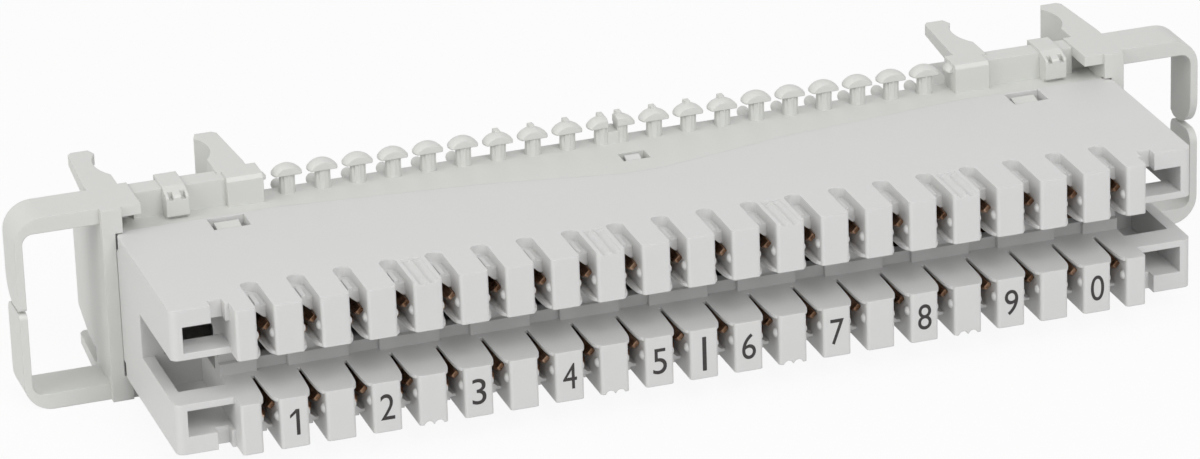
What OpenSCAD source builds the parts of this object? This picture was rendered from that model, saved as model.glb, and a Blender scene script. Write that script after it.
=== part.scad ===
// Ten pair punch down wiring block with two rows of insulation displacement slots.
// Modelled about its own middle plane: X along the rows, Y from the toothed front to the
// clips at the back, Z across the two rows. placed() then stands it on its long underside.

/* [Rows of slots] */
// Distance from one slot to the next
slot_pitch = 4.6; // [4.3:0.1:5]
// Width of a slot between two teeth
slot_w = 1.7; // [1.6:0.05:1.9]
// Depth of a slot from the front, measured on the outer face
slot_len = 6.5; // [6:0.1:7]
// Height of one row of teeth
row_h = 5.2; // [5:0.1:5.8]
// Open gap between the two rows
row_gap = 4.6; // [4.2:0.1:5]
// Depth of the wire groove in the outer face behind each slot mouth
groove_d = 1.1; // [0.8:0.1:1.3]
// Width of the narrow slit in the inner face
slit_w = 0.35; // [0.25:0.05:0.5]
// Thickness of the lips on both sides of that slit
lip_t = 0.35; // [0.25:0.05:0.7]
// Radius of the upright edges of a tooth
tooth_r = 0.35; // [0.2:0.05:0.6]
// Radius of the round pips that hold a wire down
pip_r = 0.55; // [0.4:0.05:0.65]
// How far a pip stands out of the wall of its slot
pip_out = 0.32; // [0.2:0.02:0.45]

/* [Front housing] */
// Width of a hollow end block beside the last tooth
end_block_w = 5.85; // [5:0.05:7]
// Width of the last tooth of a row
end_tooth_w = 2.1; // [1.7:0.1:2.6]
// How far the end blocks stand back from the front of the teeth
end_recess = 2.3; // [1.5:0.1:3]
// Side and front wall of the end blocks
side_wall = 1.2; // [0.9:0.1:1.4]
// Thickness of the top and bottom plates
plate_t = 1.6; // [1.2:0.1:1.8]
// Front to back depth of the housing at its ends
housing_d = 23.2; // [22:0.1:25]
// How far the rear edge dips towards the front at mid length
edge_dip = 5.2; // [3:0.1:6]
// Width of the keyed socket's notch
notch_w = 1.4; // [1:0.1:1.8]

/* [Rear base] */
// Overall height over the wire loops
overall_h = 20.4; // [19.6:0.1:22]
// Overall depth to the ends of the clip arms
overall_d = 38.3; // [37:0.1:41]
// Rear face of the base behind the wire posts
base_back = 28.7; // [28:0.1:30]
// Rear edge of the base's flange that continues the housing's top
flange_back = 25.5; // [25:0.1:26]
// Clearance between the two mouldings
joint_gap = 0.1; // [0.05:0.05:0.25]

/* [Wire loops] */
// How far a loop reaches past the base's end wall
loop_reach = 8.6; // [7:0.1:10]
// Front to back width of a loop
loop_w = 5; // [4:0.1:5.4]
// Thickness of a loop's level arms
loop_arm_t = 1.65; // [1.2:0.05:2]
// Thickness of a loop's springy upright strip
loop_strip_t = 0.8; // [0.6:0.05:1.2]
// Gap between the two tips of a loop
loop_gap = 0.3; // [0.2:0.05:1]

/* [Wire posts] */
// Distance between posts
post_pitch = 3.65; // [3.5:0.05:3.8]
// Width of a post's stem
post_w = 1.5; // [1:0.05:1.6]
// Width of the domed cap on a post
cap_w = 3.1; // [2.6:0.1:3.3]
// Height of the domed cap
cap_h = 1; // [0.7:0.05:1.3]
// How far the studs behind the outer posts reach from the base's rear face
stud_len = 3.3; // [2:0.1:4]

/* [Clip arms] */
// Distance between the middles of the two pairs of clip arms
clip_span = 91.4; // [88:0.1:92]
// Clear width between the two arms of a pair at their waist
clip_gap = 11.8; // [11:0.1:12.4]
// Clear width between the tips of the arms
clip_mouth = 10; // [9.5:0.1:10.8]
// Thickness of a hook tongue
hook_t = 1.1; // [0.7:0.1:1.4]

/* [Contacts] */
// Sheet thickness of a contact
contact_t = 0.45; // [0.35:0.05:0.5]
// Width of the forked blade across its two prongs
blade_w = 2.25; // [1.9:0.05:2.4]
// Play between the blade and the grooves that hold its edges
blade_play = 0.04; // [0.02:0.01:0.08]
// Width of the cutting slit in the blade
blade_slit = 0.28; // [0.2:0.02:0.36]

/* [Hidden] */
$fn = 32;
eps = 0.01;

slot_count = 20;
tooth_w = slot_pitch - slot_w;
tooth_step_1 = -(slot_count / 2) * slot_pitch;
// x of the left side of the slot number k, counted from 1
function slot_x(k) = tooth_step_1 + (k - 1) * slot_pitch + tooth_w / 2;
row_half = slot_x(slot_count) + slot_w + end_tooth_w;
body_half = row_half + end_block_w;
inner_z = row_gap / 2;
outer_z = inner_z + row_h;
top_z = overall_h / 2;

// The wall at the back of the gap between the rows
gap_d = slot_len + 1.2;
gap_wall_t = 1.5;
row_d = gap_d + gap_wall_t;
step_d = 0.5;
band_h = 1.2;
pocket_w = 3.1;
// The chamber that a contact sits in
chamber_front = 3;
slot_back = slot_len + 0.4;
blade_front = 1.9;
chamber_top = row_h - groove_d - 0.8;
blade_z = (lip_t + chamber_top) / 2;
// The end blocks
socket_top = row_h - 1.8;
socket_lip = 0.7;
socket_lip_d = 3.2;
side_opening = 14.5;
// Snap windows and the tongues in them
window_w = 3.7;
window_d = 2.9;
window_back = housing_d - 0.4;
window_xs = [-41.4, 42.6];
mid_window_x = 0.9;
mid_window_w = 2.8;
mid_window_d = 2.1;
mid_window_back = housing_d + 0.6;
tongue_side = 0.6;
tongue_t = 0.9;

module placed() {
    translate([0, -overall_d / 2, overall_h / 2]) children();
}

// The child and its mirror image below the middle plane
module both_rows() {
    children();
    mirror([0, 0, 1]) children();
}

// The child and its mirror image at the other end
module both_ends() {
    children();
    mirror([1, 0, 0]) children();
}

// A block from its lowest and highest corners
module span(lo, hi) {
    translate(lo) cube(hi - lo);
}

// An outline in Y and Z given a width along X
module side_profile(x0, x1) {
    translate([x0, 0, 0]) rotate([90, 0, 90]) linear_extrude(x1 - x0) children();
}

// An outline in X and Z given a depth along Y
module front_profile(y0, y1) {
    translate([0, y1, 0]) rotate([90, 0, 0]) linear_extrude(y1 - y0) children();
}

// ---------------------------------------------------------------- front housing

// Plan of one tooth, rounded at its two front edges
module tooth_plan(x, w) {
    translate([x + tooth_r, 0]) square([w - 2 * tooth_r, slot_len]);
    translate([x, tooth_r]) square([w, slot_len - tooth_r]);
    for (cx = [x + tooth_r, x + w - tooth_r]) translate([cx, tooth_r]) circle(tooth_r);
}

module comb_plan() {
    for (k = [1:slot_count - 1]) tooth_plan(slot_x(k) + slot_w, tooth_w);
    tooth_plan(-row_half, end_tooth_w);
    tooth_plan(row_half - end_tooth_w, end_tooth_w);
    difference() {
        translate([-row_half, slot_len - slot_w / 2]) square([2 * row_half, row_d - slot_len + slot_w / 2]);
        for (k = [1:slot_count]) translate([slot_x(k) + slot_w / 2, slot_len - slot_w / 2]) circle(slot_w / 2);
    }
}

// Plan of the thin lip that narrows a slot to a slit, with a flared mouth
module slot_lip_plan() {
    lip_w = (slot_w - slit_w) / 2;
    for (side = [0, 1]) translate([side * slot_w, 0]) mirror([side, 0])
        polygon([[-eps, 0.35], [0.2 * lip_w, 0.45], [0.46 * lip_w, 0.75], [0.63 * lip_w, 1.15], [0.74 * lip_w, 1.7],
                 [0.82 * lip_w, 2.5], [0.9 * lip_w, 3.8], [lip_w, slot_len], [lip_w, slot_back], [-eps, slot_back]]);
}

// What lies inside one slot: the slanted groove floor, its rib, the inner lips and the pips
module slot_inside() {
    floor_z = row_h - groove_d;
    slant = 0.75 * slot_w;
    rib_w = 0.5;
    rib_end = slot_len - 1.3;
    pip_y = 0.95;
    linear_extrude(lip_t) slot_lip_plan();
    front_profile(chamber_front, slot_back)
        polygon([[-eps, floor_z], [slot_w + eps, floor_z], [slot_w + eps, floor_z - slant],
                 [slot_w - 0.25, floor_z - slant], [0.35, floor_z - 0.3], [-eps, floor_z - 0.3]]);
    translate([slot_w / 2, 0, floor_z - eps]) linear_extrude(0.3) {
        translate([-rib_w / 2, chamber_front]) square([rib_w, rib_end - chamber_front]);
        translate([0, rib_end]) circle(rib_w / 2);
    }
    for (x = [pip_out - pip_r, slot_w - pip_out + pip_r]) translate([x, pip_y, 2.05]) sphere(pip_r);
}

// Two round-bottomed flutes along the outer face of every fourth tooth
module tooth_flutes() {
    flute_r = 0.5;
    for (k = [4:4:slot_count - 4]) for (dx = [0.32, 0.68])
        translate([slot_x(k) + slot_w + dx * tooth_w, -1, row_h + 0.15]) rotate([-90, 0, 0])
            cylinder(r = flute_r, h = slot_len + 0.3);
}

// One row of teeth, its inner face on z = 0 and its outer face on z = row_h
module tooth_row() {
    difference() {
        linear_extrude(row_h) comb_plan();
        for (k = [1:slot_count])
            span([slot_x(k), slot_len - 2, lip_t], [slot_x(k) + slot_w, row_d + 1, chamber_top]);
        for (k = [1:slot_count]) translate([slot_x(k) + slot_w / 2, 0, blade_z]) rotate([0, -45, 0])
            span([-blade_w / 2 - blade_play, blade_front - 0.1, -contact_t / 2 - blade_play],
                 [blade_w / 2 + blade_play, row_d + 1, contact_t / 2 + blade_play]);
        tooth_flutes();
    }
    for (k = [1:slot_count]) translate([slot_x(k), 0, 0]) slot_inside();
}

// Wall at the back of the gap: a pocket at every pair and a small port at every contact
module gap_wall() {
    port_w = 0.9;
    port_h = 0.6;
    port_z = inner_z - band_h;
    difference() {
        union() {
            span([-row_half, gap_d + 0.2, -inner_z - eps], [row_half, row_d, inner_z + eps]);
            for (k = [0:2:slot_count]) both_rows() intersection() {
                translate([tooth_step_1 + k * slot_pitch, 0, 0])
                    span([-slot_pitch + pocket_w / 2, gap_d - step_d + 0.2, port_z],
                         [slot_pitch - pocket_w / 2, row_d, inner_z + eps]);
                span([-row_half, 0, 0], [row_half, row_d, inner_z + 1]);
            }
        }
        for (k = [1:2:slot_count]) translate([tooth_step_1 + k * slot_pitch, 0, 0])
            span([-pocket_w / 2, 0, -port_z], [pocket_w / 2, row_d + 1, port_z]);
        for (k = [1:slot_count]) both_rows() translate([slot_x(k) + slot_w / 2, 0, 0])
            span([-port_w / 2, 0, port_z - port_h], [port_w / 2, row_d + 1, port_z]);
    }
}

// Rear edge of the housing's plates: level at the ends and dipping forwards at mid length
module rear_edge(inset) {
    reach = body_half + 5;
    slope_x = 36;
    knee_x = 16;
    polygon([[-reach, housing_d + inset], [-slope_x, housing_d + inset],
             [-knee_x, housing_d - 0.44 * edge_dip + inset], [-2, housing_d - edge_dip + inset],
             [2, housing_d - edge_dip + inset], [knee_x, housing_d - 0.44 * edge_dip + inset],
             [slope_x, housing_d + inset], [reach, housing_d + inset],
             [reach, overall_d], [-reach, overall_d]]);
}

module plate_plan() {
    corner = 1.5;
    front_r = 0.8;
    difference() {
        union() {
            translate([-body_half, end_recess + front_r])
                square([2 * body_half, housing_d - end_recess - front_r - corner]);
            translate([-body_half + front_r, end_recess]) square([2 * (body_half - front_r), housing_d / 2]);
            translate([-body_half + corner, housing_d / 2]) square([2 * (body_half - corner), housing_d / 2]);
            for (s = [-1, 1]) {
                translate([s * (body_half - corner), housing_d - corner]) circle(corner);
                translate([s * (body_half - front_r), end_recess + front_r]) circle(front_r);
            }
        }
        rear_edge(0);
        translate([-row_half + eps, -1]) square([2 * (row_half - eps), slot_len]);
        for (x = window_xs) translate([x - window_w / 2, window_back - window_d]) square([window_w, window_d]);
    }
}

// The hollow end block above the middle plane at the +X end
module end_block() {
    wall_x = body_half - side_wall;
    front_y = end_recess + side_wall;
    notch_x = row_half + 0.4;
    difference() {
        intersection() {
            translate([0, 0, inner_z]) linear_extrude(row_h) plate_plan();
            span([row_half - eps, 0, 0], [body_half + 1, side_opening + side_wall, outer_z + 1]);
        }
        span([row_half - 1, front_y, inner_z + socket_lip], [wall_x, side_opening, inner_z + socket_top]);
        span([row_half - 1, end_recess + socket_lip_d, 0], [wall_x, side_opening, inner_z + 1]);
        span([row_half - 1, -1, inner_z + socket_lip], [wall_x, front_y + 1, inner_z + socket_top]);
        span([notch_x, -1, inner_z + 1], [notch_x + notch_w, front_y, outer_z + 1]);
    }
}

// Side wall behind the end block, its short return in front, and the wall that carries on the last tooth
module side_walls() {
    wall_x = body_half - side_wall;
    wall_back = housing_d - 0.3;
    return_w = 2.2;
    blade_clear = 0.25;
    span([wall_x, side_opening, -outer_z + plate_t - eps], [body_half, wall_back, outer_z - plate_t + eps]);
    span([body_half - return_w, side_opening, -outer_z + plate_t - eps],
         [body_half - eps, side_opening + side_wall, outer_z - plate_t + eps]);
    both_rows()
        span([row_half - end_tooth_w + blade_clear, row_d - eps, inner_z],
             [row_half, side_opening + side_wall, outer_z - plate_t + eps]);
}

// The catch that reaches under the base's flange and shows in its middle window
module mid_catch() {
    w = mid_window_w - 2 * tongue_side;
    z = outer_z - plate_t;
    tip_y = mid_window_back - 0.3;
    root_y = housing_d - edge_dip;
    translate([mid_window_x, 0, 0]) {
        span([-w / 2, root_y - 3, z - joint_gap - tongue_t], [w / 2, tip_y, z - joint_gap]);
        span([-w / 2, root_y - 3, z - joint_gap - tongue_t], [w / 2, root_y - 0.5, z + eps]);
        side_profile(-w / 2, w / 2)
            polygon([[tip_y - 1.4, z - joint_gap - eps], [tip_y, z - joint_gap - eps], [tip_y, outer_z - 0.45],
                     [tip_y - 1.4, outer_z - 1.1]]);
    }
}

module front_housing() {
    color([0.82, 0.82, 0.81]) placed() {
        for (turn = [0, 180]) rotate([0, turn, 0]) translate([0, 0, inner_z]) tooth_row();
        both_rows() {
            difference() {
                translate([0, 0, outer_z - plate_t]) linear_extrude(plate_t) plate_plan();
                both_ends() span([row_half - eps, 0, 0], [body_half + 1, side_opening, outer_z + 1]);
                span([-row_half, 0, 0], [row_half, row_d - 1, outer_z + 1]);
            }
            both_ends() end_block();
            mid_catch();
        }
        gap_wall();
        both_ends() side_walls();
    }
}

// ---------------------------------------------------------------- rear base

arm_root_x = 4.9;
arm_root_w = 3.25;
end_wall_x = max(body_half + 1.35, clip_span / 2 + arm_root_x + arm_root_w);
column_x = body_half - 2.8;
loop_x = end_wall_x + loop_reach;
arm_y = base_back - 0.4 - loop_w;
block_y = arm_y - 0.8;
shelf_z = outer_z - 0.3;
deck_wall_y = 26.3;
locating_left_x = 0.1 - clip_span / 2;
locating_right_x = clip_span / 2 + 1.55;
post_y = 27.3;

// Plan of one clip arm of a pair centred on x = 0: straight outside, waisted inside
module clip_arm_plan() {
    waist_y = 34.4;
    outer_root = arm_root_x + arm_root_w;
    outer_tip = clip_mouth / 2 + 2.65;
    span_y = 3.1;
    deep = clip_gap / 2 - arm_root_x;
    r = (span_y * span_y + deep * deep) / (2 * deep);
    difference() {
        polygon([[arm_root_x, base_back - 1], [arm_root_x, waist_y - span_y], [arm_root_x, waist_y + 1],
                 [clip_mouth / 2, overall_d - 1.4], [clip_mouth / 2 + 0.5, overall_d],
                 [outer_tip - 0.4, overall_d], [outer_tip, overall_d - 0.5],
                 [outer_root, base_back + 1], [outer_root, base_back - 1]]);
        translate([clip_gap / 2 - r, waist_y]) circle(r, $fn = 96);
    }
}

// Springy hook tongues at the top and the bottom of one arm, and the prong between them
module hook_arm() {
    prong_z = 6;
    tongue_z = top_z - hook_t;
    both_rows() intersection() {
        linear_extrude(top_z) clip_arm_plan();
        side_profile(0, 12) {
            polygon([[base_back - 1, tongue_z - 1.1], [base_back + 1, tongue_z - 0.3], [overall_d, tongue_z],
                     [overall_d, top_z], [base_back - 1, top_z]]);
            polygon([[base_back - 1, -eps], [overall_d, -eps], [overall_d, prong_z - 0.6],
                     [overall_d - 0.8, prong_z - 0.1], [base_back + 4, prong_z + 0.9], [base_back - 1, prong_z + 0.9]]);
        }
    }
}

// The stiff arm that faces it, over the whole height
module plate_arm() {
    translate([0, 0, -top_z]) linear_extrude(overall_h) clip_arm_plan();
}

// Loop seen along Y: outer and inner outlines with round corners
module loop_outline(x1, z1, r) {
    square([x1 - r, z1]);
    square([x1, z1 - r]);
    translate([x1 - r, z1 - r]) circle(r);
}

// A loop's strip seen along X, one edge at y = 0: a tip at z = 0 with two round corners
module loop_tip(r_near, r_far) {
    for (end = [0, loop_w]) {
        r = end == 0 ? r_near : r_far;
        dir = end == 0 ? 1 : -1;
        translate([end + dir * r, r]) circle(r, $fn = 48);
        translate([min(end, end + dir * r), r]) square([r, overall_h]);
    }
    translate([r_near, 0]) square([loop_w - r_near - r_far, overall_h]);
    translate([r_near - eps, max(r_near, r_far)]) square([loop_w - r_near - r_far + 2 * eps, overall_h]);
}

// Upper half of an end loop with its tip at height tip_z
module loop_half(tip_z, r_near, r_far) {
    intersection() {
        front_profile(arm_y, arm_y + loop_w) difference() {
            translate([0, -3]) loop_outline(loop_x, top_z + 3, 2.9);
            translate([-1, -4]) loop_outline(loop_x - loop_strip_t + 1, top_z - loop_arm_t + 4, 1.1);
        }
        side_profile(end_wall_x - 1, loop_x + 1) translate([arm_y, tip_z]) loop_tip(r_near, r_far);
    }
}

// Both loops: the gap between a loop's tips slants, and it slants the other way at the other end
module end_loops() {
    long_r = 3.3;
    short_r = 1.3;
    split_z = 0.35;
    left_r = 2.6;
    mirror([1, 0, 0]) {
        loop_half(split_z + loop_gap / 2, 0.4, left_r);
        mirror([0, 0, 1]) loop_half(-split_z + loop_gap / 2, 0.5, short_r);
    }
    loop_half(loop_gap / 2, long_r, 1);
    mirror([0, 0, 1]) loop_half(loop_gap / 2, short_r, 1);
}

// End wall with a ridge that laps the housing's rear edge, and the pocket beside it
module end_column() {
    ridge_w = 0.85;
    ridge_gap = 0.03;
    pocket_x = body_half - 0.75;
    pocket_z = top_z - 1.1;
    difference() {
        union() {
            span([column_x, arm_y, -top_z], [end_wall_x, base_back, top_z]);
            span([body_half + ridge_gap, block_y, -top_z], [body_half + ridge_w + 0.5, arm_y + 1, top_z]);
            both_rows() span([pocket_x, block_y, outer_z + joint_gap], [body_half + ridge_w, arm_y + 1, top_z]);
            both_rows() span([column_x, arm_y - 0.4, pocket_z], [body_half, arm_y + 1, top_z]);
        }
        both_rows() span([column_x - 1, block_y - 1, shelf_z], [pocket_x, base_back - 1.5, pocket_z]);
        span([column_x - 1, 0, -shelf_z + plate_t], [end_wall_x - 1.5, base_back - 1.4, shelf_z - plate_t]);
    }
}

// Domed cap of a post, flat in front and behind, its top at z = 0 and its underside cap_h below
module post_cap() {
    rim_t = 0.14;
    rise = cap_h - rim_t;
    cap_d = post_w + 0.25;
    r = (cap_w * cap_w / 4 + rise * rise) / (2 * rise);
    intersection() {
        translate([0, 0, -r]) sphere(r, $fn = 48);
        translate([0, 0, -cap_h]) cylinder(r = cap_w / 2, h = cap_h);
        span([-cap_w, -cap_d / 2, -2 * cap_h], [cap_w, cap_d / 2, 1]);
    }
}

// Raised wall beside the clip arms, ending in half a cap
module deck_wall() {
    wall_in = 36.6;
    step_x = wall_in + 3.7;
    span([wall_in, deck_wall_y, shelf_z - eps], [column_x + eps, base_back, top_z - 0.2]);
    span([wall_in, deck_wall_y - 0.7, shelf_z - eps], [step_x, base_back, top_z - 0.4]);
    side_profile(wall_in, step_x)
        polygon([[deck_wall_y - 0.7, top_z - 0.5], [deck_wall_y - 0.4, top_z], [base_back, top_z],
                 [base_back, top_z - 0.5]]);
    intersection() {
        translate([wall_in + 0.9, post_y, top_z]) post_cap();
        span([0, 0, 0], [wall_in + 1, base_back, top_z]);
    }
}

// Locating block between two clip arms that laps over the housing's edge, notched in front
module locating_block(x) {
    front_y = 24.6;
    front_z = outer_z + 2.2;
    back_y = base_back + 0.9;
    lap_z = outer_z + joint_gap / 2;
    block_w = 2.3;
    notch = 0.45;
    translate([x - block_w / 2, 0, 0]) difference() {
        side_profile(0, block_w)
            polygon([[front_y, lap_z], [front_y, front_z - 0.2], [front_y + 0.2, front_z], [deck_wall_y, top_z],
                     [back_y, top_z], [back_y, shelf_z + 1], [base_back - 0.5, shelf_z - 0.5],
                     [front_y + 0.5, shelf_z - 0.5], [front_y + 0.5, lap_z]]);
        for (dx = [0.3, block_w - 0.3 - notch])
            span([dx, front_y - 1, front_z - notch], [dx + notch, front_y + 0.8, front_z + 1]);
    }
}

// Round stem of a post with fine ribs round its front
module post_stem() {
    rib_r = 0.12;
    stem_r = post_w / 2;
    translate([0, post_y, shelf_z - eps]) {
        cylinder(r1 = stem_r + 0.08, r2 = stem_r - 0.03, h = top_z - shelf_z - 0.6);
        for (a = [-60:30:60]) rotate([0, 0, a]) translate([0, -stem_r + 0.03, 0])
            cylinder(r = rib_r, h = top_z - shelf_z - cap_h);
    }
}

// One wire post: stem and cap, with a nib behind the inner ones and a stud behind the outer ones
module wire_post(x, inner) {
    nib_w = 0.55;
    stud_r = 0.62;
    translate([x, 0, 0]) {
        post_stem();
        translate([0, post_y, inner ? top_z - 0.2 : top_z]) post_cap();
        if (inner) side_profile(-nib_w / 2, nib_w / 2)
            polygon([[post_y, shelf_z - eps], [post_y, top_z], [post_y + 0.8, top_z], [base_back, shelf_z + 1],
                     [base_back, shelf_z - eps]]);
        else translate([0, base_back - 0.3, shelf_z - 0.8]) rotate([-90, 0, 0]) {
            cylinder(r = stud_r, h = stud_len + 0.3 - stud_r);
            translate([0, 0, stud_len + 0.3 - stud_r]) sphere(stud_r);
        }
    }
}

module wire_posts() {
    post_1 = 4.6;
    middle_x = 0.95;
    split_x = 0.5;
    both_ends() {
        for (i = [0:8]) wire_post(post_1 + i * post_pitch, i < 3);
        intersection() {
            wire_post(middle_x, true);
            span([split_x, 0, 0], [middle_x + cap_w, base_back, top_z]);
        }
    }
    span([-split_x - 0.1, post_y - 0.8, shelf_z - eps], [split_x + 0.1, base_back, shelf_z + 1.3]);
}

// Flange that carries the housing's top on to the posts
module flange() {
    flange_x = body_half - 1.6;
    difference() {
        translate([0, 0, outer_z - plate_t]) linear_extrude(plate_t - outer_z + shelf_z) intersection() {
            rear_edge(joint_gap);
            union() {
                translate([-column_x + 1, 0]) square([2 * column_x - 2, flange_back]);
                translate([-flange_x, housing_d]) square([2 * flange_x, flange_back - housing_d]);
            }
        }
        span([mid_window_x - mid_window_w / 2, mid_window_back - mid_window_d, 0],
             [mid_window_x + mid_window_w / 2, mid_window_back, outer_z + 1]);
    }
}

// Snap tongues that reach under the housing's plate and show in its windows
module snap_tongues() {
    w = window_w - 2 * tongue_side;
    z = outer_z - plate_t - joint_gap;
    y0 = window_back - window_d + 0.4;
    for (x = window_xs) translate([x, 0, 0]) {
        span([-w / 2, y0, z - tongue_t], [w / 2, flange_back + 1, z]);
        side_profile(-w / 2, w / 2)
            polygon([[y0, z - eps], [window_back - 0.3, z - eps], [window_back - 0.3, outer_z - 0.35],
                     [y0, outer_z - 0.75]]);
    }
}

module rear_base() {
    base_wall = 1.5;
    inner = shelf_z - base_wall;
    color([0.8, 0.8, 0.79]) placed() {
        difference() {
            span([-column_x - eps, flange_back - 1, -shelf_z], [column_x + eps, base_back, shelf_z]);
            span([-column_x + base_wall, 0, -inner], [column_x - base_wall, base_back - base_wall, inner]);
        }
        both_rows() {
            flange();
            both_ends() deck_wall();
            snap_tongues();
            locating_block(locating_left_x);
            locating_block(locating_right_x);
            wire_posts();
        }
        both_ends() end_column();
        end_loops();
        for (s = [-1, 1]) translate([s * clip_span / 2, 0, 0]) {
            mirror([1, 0, 0]) hook_arm();
            plate_arm();
        }
    }
}

// ---------------------------------------------------------------- contacts

// Contact in slot number k: forked blade at 45 degrees and its spring tail. The lower row's
// contacts are the upper row's turned over by half a turn about Y.
module contact(k, turn) {
    z = inner_z + blade_z;
    blade_back = row_d + 0.4;
    tail_w = 1.3;
    fork_d = 4.2;
    tail_end = 21.5;
    t = contact_t;
    color([0.72, 0.42, 0.2]) placed() translate([slot_x(k) + slot_w / 2, 0, 0]) rotate([0, turn, 0]) {
        translate([0, 0, z]) rotate([0, -45, 0]) difference() {
            span([-blade_w / 2, blade_front, -t / 2], [blade_w / 2, blade_back, t / 2]);
            translate([0, 0, -t]) linear_extrude(2 * t) {
                translate([-blade_slit / 2, 0]) square([blade_slit, blade_front + fork_d]);
                translate([0, blade_front + fork_d]) circle(blade_slit * 0.8);
                polygon([[-0.5, blade_front - 0.1], [0.5, blade_front - 0.1], [0, blade_front + 0.9]]);
            }
        }
        side_profile(-tail_w / 2, tail_w / 2)
            polygon([[blade_back - 1.6, z - t / 2], [blade_back + 1, z - t / 2], [tail_end - 4, 0.06],
                     [tail_end - 2.6, 0.03], [tail_end, 0.6], [tail_end, 0.6 + t],
                     [tail_end - 2.7, 0.05 + t], [tail_end - 3.8, 0.1 + t], [blade_back + 1.2, z + t / 2],
                     [blade_back - 1.6, z + t / 2]]);
    }
}

front_housing();
rear_base();
for (k = [1:slot_count]) {
    number = str(k < 10 ? "0" : "", k);
    contact(k, 0);
    contact(k, 180);
}
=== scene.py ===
# %% [markdown]
# # A punch down wiring block, dressed for its picture
# The block is two pale plastic mouldings that snap together, with forty small bronze contacts
# between them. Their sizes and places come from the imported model, which is loaded as a fixed
# frame. Here the mouldings get the softly broken edges that every moulded piece has, the
# numbers get printed on, and every surface gets a finish. All lengths are in metres.

# %% Load the frame
import math

import bmesh
import bpy
from mathutils import Matrix, Vector


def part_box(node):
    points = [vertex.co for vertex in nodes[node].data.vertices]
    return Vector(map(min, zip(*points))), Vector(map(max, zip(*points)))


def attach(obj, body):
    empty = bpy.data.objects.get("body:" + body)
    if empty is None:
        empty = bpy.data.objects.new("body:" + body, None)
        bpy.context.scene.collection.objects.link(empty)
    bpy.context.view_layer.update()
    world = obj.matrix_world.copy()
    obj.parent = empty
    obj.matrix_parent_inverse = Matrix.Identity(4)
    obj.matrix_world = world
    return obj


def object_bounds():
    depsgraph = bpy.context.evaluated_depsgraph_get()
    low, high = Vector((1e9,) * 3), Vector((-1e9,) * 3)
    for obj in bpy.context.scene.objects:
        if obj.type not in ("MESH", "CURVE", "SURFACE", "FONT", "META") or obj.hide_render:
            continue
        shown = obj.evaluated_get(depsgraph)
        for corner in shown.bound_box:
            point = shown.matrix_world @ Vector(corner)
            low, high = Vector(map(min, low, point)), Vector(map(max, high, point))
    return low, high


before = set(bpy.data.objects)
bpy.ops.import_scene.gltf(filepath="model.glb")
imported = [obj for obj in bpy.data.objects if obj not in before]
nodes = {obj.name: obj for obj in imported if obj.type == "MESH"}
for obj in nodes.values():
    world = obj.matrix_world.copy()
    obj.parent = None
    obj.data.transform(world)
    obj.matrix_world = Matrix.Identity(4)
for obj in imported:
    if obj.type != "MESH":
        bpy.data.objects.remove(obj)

MM = 0.001
cad_box = [list(corner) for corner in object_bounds()]
print("nodes:", len(nodes), "box in mm:", [[round(v / MM, 1) for v in c] for c in cad_box])

# %% [markdown]
# ## Where the camera stands
# The block is long and slim, and the view takes it from a little left and above. A long lens,
# in millimetres, keeps both ends nearly the same size. The camera is set down at its place and
# turned by three angles: tilted up from looking straight down, rolled a little, and swung
# round. A tracking constraint could aim it instead, but then the small roll would be lost.

# %% Camera
LENS = 176.785
CAMERA_PLACE = Vector((-169.480, -513.901, 240.778)) * MM
TILT, ROLL, SWING = 66.9859, 1.7819, -18.5971

bpy.ops.object.camera_add(location=CAMERA_PLACE,
                          rotation=[math.radians(turn) for turn in (TILT, ROLL, SWING)])
camera = bpy.context.object
camera.name = "camera"
camera.data.sensor_width = 36
camera.data.lens = LENS
camera.data.clip_start = 0.02
camera.data.clip_end = 20
bpy.context.scene.camera = camera
print("camera is", round(camera.location.length, 3), "m from the block")

# %% [markdown]
# ## Sums with sockets
# A finish is built from nodes, and most of it is arithmetic: this noise times that strength,
# plus a little of another noise. Written as Python expressions it reads like arithmetic too.
# The class below wraps one output socket. Its operators each add a Math node, and they also
# work with a plain number on their left. Its one other method adds any node at all, with its
# settings first and then its sockets.

# %% Wrapper for shader maths
class Wire:
    """One output socket, or a bare tree to start from."""

    def __init__(self, tree, socket=None):
        self.tree = tree
        self.socket = socket

    def node(self, kind, settings=None, sockets=None, out=0):
        """Adds a node and returns its output number out."""
        made = self.tree.nodes.new("ShaderNode" + kind)
        for key, value in (settings or {}).items():
            if key == "stops":
                ramp = made.color_ramp.elements
                for spot, (at, colour) in enumerate(value):
                    stop = ramp[spot] if spot < len(ramp) else ramp.new(at)
                    stop.position, stop.color = at, (*colour, 1)
            else:
                setattr(made, key, value)
        for key, value in (sockets or {}).items():
            if isinstance(value, Wire):
                self.tree.links.new(value.socket, made.inputs[key])
            else:
                made.inputs[key].default_value = value
        return Wire(self.tree, made.outputs[out] if made.outputs else None)

    def _sum(self, operation, first, second):
        return self.node("Math", {"operation": operation}, {0: first, 1: second})

    def __add__(self, other):
        return self._sum("ADD", self, other)

    def __mul__(self, other):
        return self._sum("MULTIPLY", self, other)

    __radd__ = __add__
    __rmul__ = __mul__


print("wrapper has + and *, and adds any other node by its name")

# %% [markdown]
# Every finish begins with an empty tree, blends two colours and reads where a point lies on the
# block. The point comes from Object coordinates, which stay with the piece when it is seen
# from elsewhere or exported, and a Mapping node moves their origin to the block's middle.

# %% Helpers for every finish
def start_material(name):
    """A new material with an empty tree, and a wire to build it from."""
    material = bpy.data.materials.new(name)
    material.use_nodes = True
    material.node_tree.nodes.clear()
    return material, Wire(material.node_tree)


def blend_colour(wire, share, first, second):
    """Goes from the first colour to the second as share goes from 0 to 1."""
    return wire.node("Mix", {"data_type": "RGBA"},
                     {0: share, 6: first, 7: second}, out=2)


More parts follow.
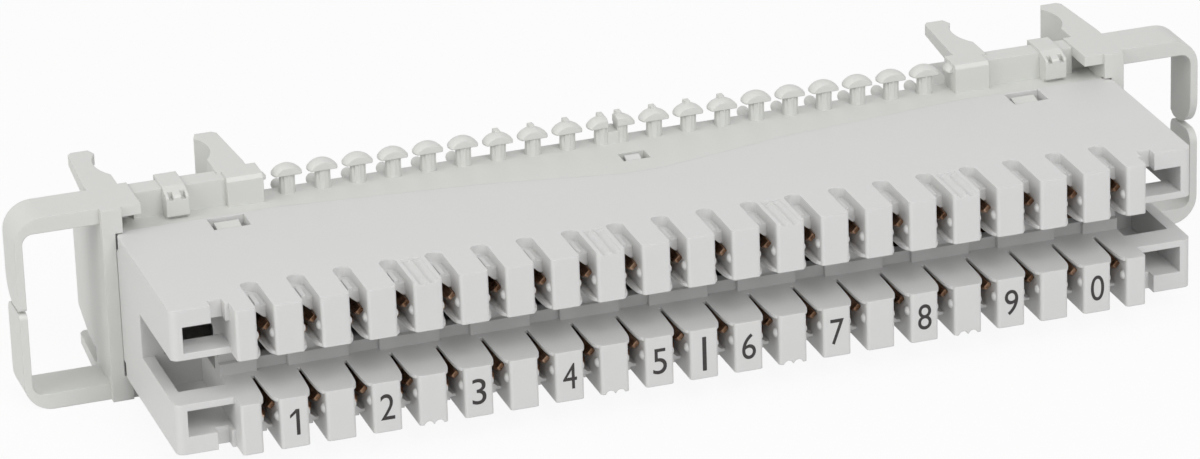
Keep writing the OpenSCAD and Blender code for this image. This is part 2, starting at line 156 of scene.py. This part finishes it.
def object_place(wire, stretch=(1, 1, 1)):
    """The point on the piece, measured from the block's middle."""
    middle = [-(low + high) / 2 for low, high in zip(*cad_box)]
    place = wire.node("TexCoord", out=3)
    return wire.node("Mapping", {}, {"Vector": place, "Location": middle, "Scale": stretch})


def noise(wire, place, per_metre, detail=2.0, roughness=0.5):
    """Soft random lumps, so many of them in a metre, each with finer ones on it."""
    return wire.node("TexNoise", {}, {"Vector": place, "Scale": per_metre, "Detail": detail,
                                      "Roughness": roughness})


print("finishes are centred on, in mm:",
      [round((low + high) / 2 / MM, 1) for low, high in zip(*cad_box)])

# %% [markdown]
# ## Moulded plastic
# The mouldings are a hard, slightly milky plastic. Close up it isn't one grey: the colour
# drifts softly where the melt flowed, the skin carries the fine grain of the steel mould, and
# handling leaves faint duller patches. Noises of very different size make those, and a little
# light that enters the surface keeps the shadows from going hard. No moulded edge is knife
# sharp either: a Bevel node turns the surface's direction near each edge, so that the edge
# catches light as its small radius would, and the solid keeps its exact size.

# %% Plastic finishes
MOULDED_RADIUS = 0.12 * MM
BEVEL_SAMPLES = 6
FLOW_PER_METRE = 55
HANDLING_PER_METRE = 210
SPECKLE_PER_METRE = 1500
GRAIN_PER_METRE = 7500
ALONG_THE_BLOCK = (0.35, 1, 1)


def moulded_plastic(name, colour, shade, grain_height):
    """Milky plastic that drifts from colour to shade, with a mould's grain on it."""
    material, wire = start_material(name)
    place = object_place(wire)
    flow = noise(wire, object_place(wire, ALONG_THE_BLOCK), FLOW_PER_METRE, 3)
    handling = noise(wire, place, HANDLING_PER_METRE, 4, 0.6)
    grain = noise(wire, place, GRAIN_PER_METRE, 2)
    speckle = noise(wire, place, SPECKLE_PER_METRE, 1)
    tint = blend_colour(wire, 0.6 * flow + 0.4 * handling, (*shade, 1), (*colour, 1))
    soft_edge = wire.node("Bevel", {"samples": BEVEL_SAMPLES}, {"Radius": MOULDED_RADIUS})
    lump = wire.node("Bump", {}, {"Strength": 0.35, "Distance": grain_height,
                                  "Height": grain + 0.6 * speckle, "Normal": soft_edge})
    skin = wire.node("BsdfPrincipled", {}, {
        "Base Color": tint,
        "Roughness": 0.4 + 0.1 * handling + 0.1 * grain,
        "Normal": lump,
        "IOR": 1.5,
        "Subsurface Weight": 0.12,
        "Subsurface Radius": (1.0, 0.95, 0.8),
        "Subsurface Scale": 0.6 * MM})
    wire.node("OutputMaterial", {}, {"Surface": skin})
    return material


housing_finish = moulded_plastic("housing_moulding", colour=(0.668, 0.668, 0.665),
                                 shade=(0.625, 0.626, 0.618), grain_height=0.012 * MM)
base_finish = moulded_plastic("base_moulding", colour=(0.665, 0.669, 0.650),
                              shade=(0.618, 0.623, 0.598), grain_height=0.014 * MM)
print("finishes:", housing_finish.name, base_finish.name)

# %% [markdown]
# ## Contact bronze
# The contacts are stamped from thin spring bronze. The strip is brown where it has aged and
# brighter copper where the die rubbed it, and rolling leaves fine lines along its length. The
# lines are a noise that is squeezed across the strip and stretched along it. The stamped edges
# are a little round, and a Bevel node lets them catch the light.

# %% Bronze finish
STAMPED_RADIUS = 0.09 * MM
AGEING_PER_METRE = 420
ROLLING_PER_METRE = 9000
ALONG_THE_BLADE = (1, 0.06, 1)
AGED, BROWN, RUBBED = (0.16, 0.09, 0.055), (0.36, 0.21, 0.13), (0.85, 0.60, 0.44)


def stamped_bronze(name):
    """Spring bronze from aged brown to rubbed copper, with fine rolling lines."""
    material, wire = start_material(name)
    ageing = noise(wire, object_place(wire), AGEING_PER_METRE, 4, 0.6)
    rolling = noise(wire, object_place(wire, ALONG_THE_BLADE), ROLLING_PER_METRE, 2)
    tint = wire.node("ValToRGB", {"stops": [(0.3, AGED), (0.52, BROWN), (0.75, RUBBED)]},
                     {"Fac": 0.75 * ageing + 0.25 * rolling})
    soft_edge = wire.node("Bevel", {"samples": BEVEL_SAMPLES}, {"Radius": STAMPED_RADIUS})
    lines = wire.node("Bump", {}, {"Strength": 0.3, "Distance": 0.006 * MM, "Height": rolling,
                                   "Normal": soft_edge})
    strip = wire.node("BsdfPrincipled", {}, {
        "Base Color": tint, "Metallic": 1.0, "Roughness": 0.18 + 0.22 * ageing, "Normal": lines})
    wire.node("OutputMaterial", {}, {"Surface": strip})
    return material


bronze_finish = stamped_bronze("contact_bronze")
contacts = [part for name, part in nodes.items() if name.startswith("contact_")]
for contact in contacts:
    contact.data.materials.clear()
    contact.data.materials.append(bronze_finish)
print("contacts dressed:", len(contacts))

# %% [markdown]
# ## Dressing the mouldings
# Both mouldings have their right shape in the frame, so they stay as they are and only take
# their finish. The housing and the base come from two tools and two batches, and their greys
# differ by a hair, which is why they don't share one material.

# %% Finish on the two mouldings
for name, finish in (("front_housing", housing_finish), ("rear_base", base_finish)):
    moulding = nodes[name]
    moulding.data.materials.clear()
    moulding.data.materials.append(finish)
    print(name, "faces:", len(moulding.data.polygons))

# %% [markdown]
# ## Printed numbers
# The ten pairs are numbered on the lower row, on every second tooth, and a plain bar marks the
# middle between five and six. The print is a thin film of dark ink. A mask in the plastic could
# carry it, but then it would be lost to whoever takes the mesh alone. So each number is typed
# with a text object, made a mesh, brought to size, stood upright and set on its tooth, a hair
# proud of the plastic, as ink is.

# %% Ink finish
COVER_PER_METRE = 2600
FULL_INK, THIN_INK = (0.012, 0.010, 0.011, 1), (0.040, 0.033, 0.032, 1)


def printed_ink(name):
    """Dark ink that covers a little unevenly."""
    material, wire = start_material(name)
    cover = noise(wire, object_place(wire), COVER_PER_METRE, 3, 0.6)
    tint = blend_colour(wire, cover, FULL_INK, THIN_INK)
    film = wire.node("Bump", {}, {"Strength": 0.25, "Distance": 0.004 * MM, "Height": cover})
    ink = wire.node("BsdfPrincipled", {}, {
        "Base Color": tint, "Roughness": 0.42 + 0.22 * cover, "Normal": film})
    wire.node("OutputMaterial", {}, {"Surface": ink})
    return material


ink_finish = printed_ink("number_ink")
print("finish:", ink_finish.name)

# %% [markdown]
# Where a print goes follows from the frame. A tooth bears the number of the contact on its
# left, and stands halfway between that one and the next. All teeth end at the housing's front
# face, and the lower row begins at the housing's underside, so half a tooth above that is a
# tooth's middle.

# %% Where the prints go
TOOTH_H = 5.2 * MM
housing_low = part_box("front_housing")[0]
tooth_face = housing_low.y
print_z = housing_low.z + TOOTH_H / 2


def tooth_x(tooth):
    """Middle of the tooth between a contact of the lower row and the next one."""
    sides = [corner.x for number in (tooth, tooth + 1)
             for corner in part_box(f"contact_lower_{number:02d}")]
    return sum(sides) / len(sides)


print("teeth 1 and 19 stand at x in mm:", [round(tooth_x(tooth) / MM, 2) for tooth in (1, 19)])
print("prints stand at z in mm:", round(print_z / MM, 2))

# %% [markdown]
# Every print starts as a flat outline on the ground. The helper gives it its size, a film's
# thickness and its tooth. The film is centred on the tooth's face, so half of it is proud.

# %% Helper that prints an outline on a tooth
INK_T = 0.02 * MM
MERGE_DISTANCE = 0.002 * MM
QUARTER_TURN = math.radians(90)


def print_on_tooth(piece, name, tooth, width, height):
    """Brings a flat outline to size, gives it a film's thickness and stands it on its tooth."""
    piece.name = piece.data.name = name
    low = [min(v.co[axis] for v in piece.data.vertices) for axis in range(2)]
    high = [max(v.co[axis] for v in piece.data.vertices) for axis in range(2)]
    middle = [-(low[axis] + high[axis]) / 2 for axis in range(2)]
    piece.data.transform(Matrix.Translation((*middle, 0)))
    stretch = (width / (high[0] - low[0]), height / (high[1] - low[1]), 1, 1)
    piece.data.transform(Matrix.Diagonal(stretch))
    bpy.ops.object.mode_set(mode="EDIT")
    bpy.ops.mesh.select_all(action="SELECT")
    bpy.ops.mesh.remove_doubles(threshold=MERGE_DISTANCE)
    bpy.ops.mesh.extrude_region_move(TRANSFORM_OT_translate={"value": (0, 0, INK_T)})
    bpy.ops.mesh.select_all(action="SELECT")
    bpy.ops.mesh.normals_make_consistent(inside=False)
    bpy.ops.object.mode_set(mode="OBJECT")
    piece.data.transform(Matrix.Translation((0, 0, -INK_T / 2)))
    piece.data.transform(Matrix.Rotation(QUARTER_TURN, 4, "X"))
    piece.data.transform(Matrix.Translation((tooth_x(tooth), tooth_face, print_z)))
    piece.data.materials.clear()
    piece.data.materials.append(ink_finish)
    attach(piece, "root")
    print(name, "faces:", len(piece.data.polygons))


# %% [markdown]
# The numbers from two on are typed one after the other, with nought for ten. They go on every
# second tooth, the one between the two contacts of each pair.

# %% Numbers two to nine, and nought
DIGIT_W = 1.42 * MM
DIGIT_H = 2.7 * MM
for digit, tooth in zip("234567890", range(3, 20, 2)):
    bpy.ops.object.select_all(action="DESELECT")
    bpy.ops.object.text_add()
    bpy.context.object.data.body = digit
    bpy.ops.object.convert(target="MESH")
    print_on_tooth(bpy.context.object, "number_" + digit, tooth, DIGIT_W, DIGIT_H)

# %% [markdown]
# The built-in font's one is a bare stroke, which would pass for the bar. So the one is drawn
# by hand, a unit high: a narrow plane is cut across below its top, and the short left edge above
# the cut is drawn out to the left and down and tapered, which gives the flag. The helper then
# brings it to the height of the other numbers.

# %% Number one
ONE_W = 0.95 * MM
STROKE_SHARE = 0.13
FLAG_CUT = 0.35
FLAG_REACH = (-0.22, -0.19, 0)
FLAG_TAPER = 0.8
bpy.ops.object.select_all(action="DESELECT")
bpy.ops.mesh.primitive_plane_add(size=1)
one = bpy.context.object
bpy.ops.object.mode_set(mode="EDIT")
bpy.ops.transform.resize(value=(STROKE_SHARE, 1, 1))
bpy.ops.mesh.bisect(plane_co=(0, FLAG_CUT, 0), plane_no=(0, 1, 0))
bpy.ops.mesh.select_all(action="DESELECT")
outline = bmesh.from_edit_mesh(one.data)
for edge in outline.edges:
    if all(end.co.x < 0 and end.co.y > 0.9 * FLAG_CUT for end in edge.verts):
        edge.select_set(True)
bmesh.update_edit_mesh(one.data)
bpy.ops.mesh.extrude_region_move(TRANSFORM_OT_translate={"value": FLAG_REACH})
bpy.ops.transform.resize(value=(1, FLAG_TAPER, 1))
bpy.ops.object.mode_set(mode="OBJECT")
print_on_tooth(one, "number_1", 1, ONE_W, DIGIT_H)

# %% [markdown]
# The bar is a narrow plane with its four corners rounded a little, as a stamp prints them. It
# stands on the middle tooth, after the tenth contact.

# %% Bar between five and six
BAR_W = 0.42 * MM
BAR_H = 3.6 * MM
BAR_CORNER = 0.06 * MM
MIDDLE_TOOTH = 10
bpy.ops.object.select_all(action="DESELECT")
bpy.ops.mesh.primitive_plane_add(size=1)
bar = bpy.context.object
bpy.ops.object.mode_set(mode="EDIT")
bpy.ops.transform.resize(value=(BAR_W, BAR_H, 1))
bpy.ops.mesh.bevel(offset=BAR_CORNER, segments=3, affect="VERTICES")
bpy.ops.object.mode_set(mode="OBJECT")
print_on_tooth(bar, "middle_bar", MIDDLE_TOOTH, BAR_W, BAR_H)

# %% [markdown]
# ## Floor, world and lamps
# The block lies on a plain white floor. What the camera and the mirror-like surfaces see of it
# is nearly all white by its own colour, so no lamp has to be turned up to whiten it. The rest
# is an ordinary matt floor, so that the block's shadow still shows on it and a little light
# comes back up under the teeth.

# %% Floor
FLOOR_WHITE_SHARE = 0.92
FLOOR_SIZE = 6
MATT_FLOOR = (0.72, 0.72, 0.72, 1)
WHITE = (1, 1, 1, 1)


def seen_directly(wire):
    """One where a ray comes from the camera, or by a reflection or through glass."""
    path = wire.node("LightPath")
    outlets = path.socket.node.outputs
    rays = [Wire(wire.tree, outlets[name])
            for name in ("Is Camera Ray", "Is Glossy Ray", "Is Transmission Ray")]
    return wire.node("Clamp", {}, {0: rays[0] + rays[1] + rays[2]})


floor_material, wire = start_material("studio_floor")
matt = wire.node("BsdfDiffuse", {}, {"Color": MATT_FLOOR})
white = wire.node("Emission", {}, {"Color": WHITE, "Strength": 1.0})
white_share = FLOOR_WHITE_SHARE * seen_directly(wire)
surface = wire.node("MixShader", {}, {0: white_share, 1: matt, 2: white})
wire.node("OutputMaterial", {}, {"Surface": surface})
bpy.ops.object.select_all(action="DESELECT")
bpy.ops.mesh.primitive_plane_add(size=FLOOR_SIZE, location=(0, 0, cad_box[0][2]))
floor = bpy.context.object
floor.name = "studio_floor"
floor.data.materials.append(floor_material)
print("floor lies at z in mm:", round(cad_box[0][2] / MM, 2))

# %% [markdown]
# The world is the studio's pale walls. It lights the block at about half strength, and is
# white only where it is seen directly or mirrored. A picture of a real studio would be richer,
# but plain walls suit a plain object.

# %% World
WORLD_LEVEL = 0.48
world = bpy.data.worlds.new("studio_world")
world.use_nodes = True
world.node_tree.nodes.clear()
bpy.context.scene.world = world
wire = Wire(world.node_tree)
level = WORLD_LEVEL + (1 - WORLD_LEVEL) * seen_directly(wire)
sky = wire.node("Background", {}, {"Color": WHITE, "Strength": level})
wire.node("OutputWorld", {}, {"Surface": sky})
print("world level on the block:", WORLD_LEVEL)

# %% [markdown]
# Two large square lamps do the rest: one high in front, which shapes the teeth and leaves the
# gap between the rows darker than their faces, and a weaker, slightly warm one on the left,
# which lights the end. Their power is set so that the top renders about as the plastic's
# colour is written. The top is a little glossy, so from low on the right it mirrors the left
# lamp: it comes close to white there, and a few points on its rim clip.

# %% Lamps
def soft_lamp(name, place, size, power, colour):
    """A large square lamp that faces the block's middle."""
    bpy.ops.object.light_add(type="AREA", location=place)
    lamp = bpy.context.object
    lamp.name = name
    lamp.data.size = size
    lamp.data.energy = power
    lamp.data.color = colour
    lamp.rotation_euler = (-Vector(place)).to_track_quat("-Z", "Y").to_euler()


soft_lamp("lamp_high_front", place=(0.1, -0.85, 0.8), size=0.7, power=6.8, colour=(1, 1, 1))
soft_lamp("lamp_left", place=(-0.9, -0.2, 0.55), size=0.8, power=4.4, colour=(1, 0.995, 0.965))
bpy.context.scene.view_settings.view_transform = "Standard"
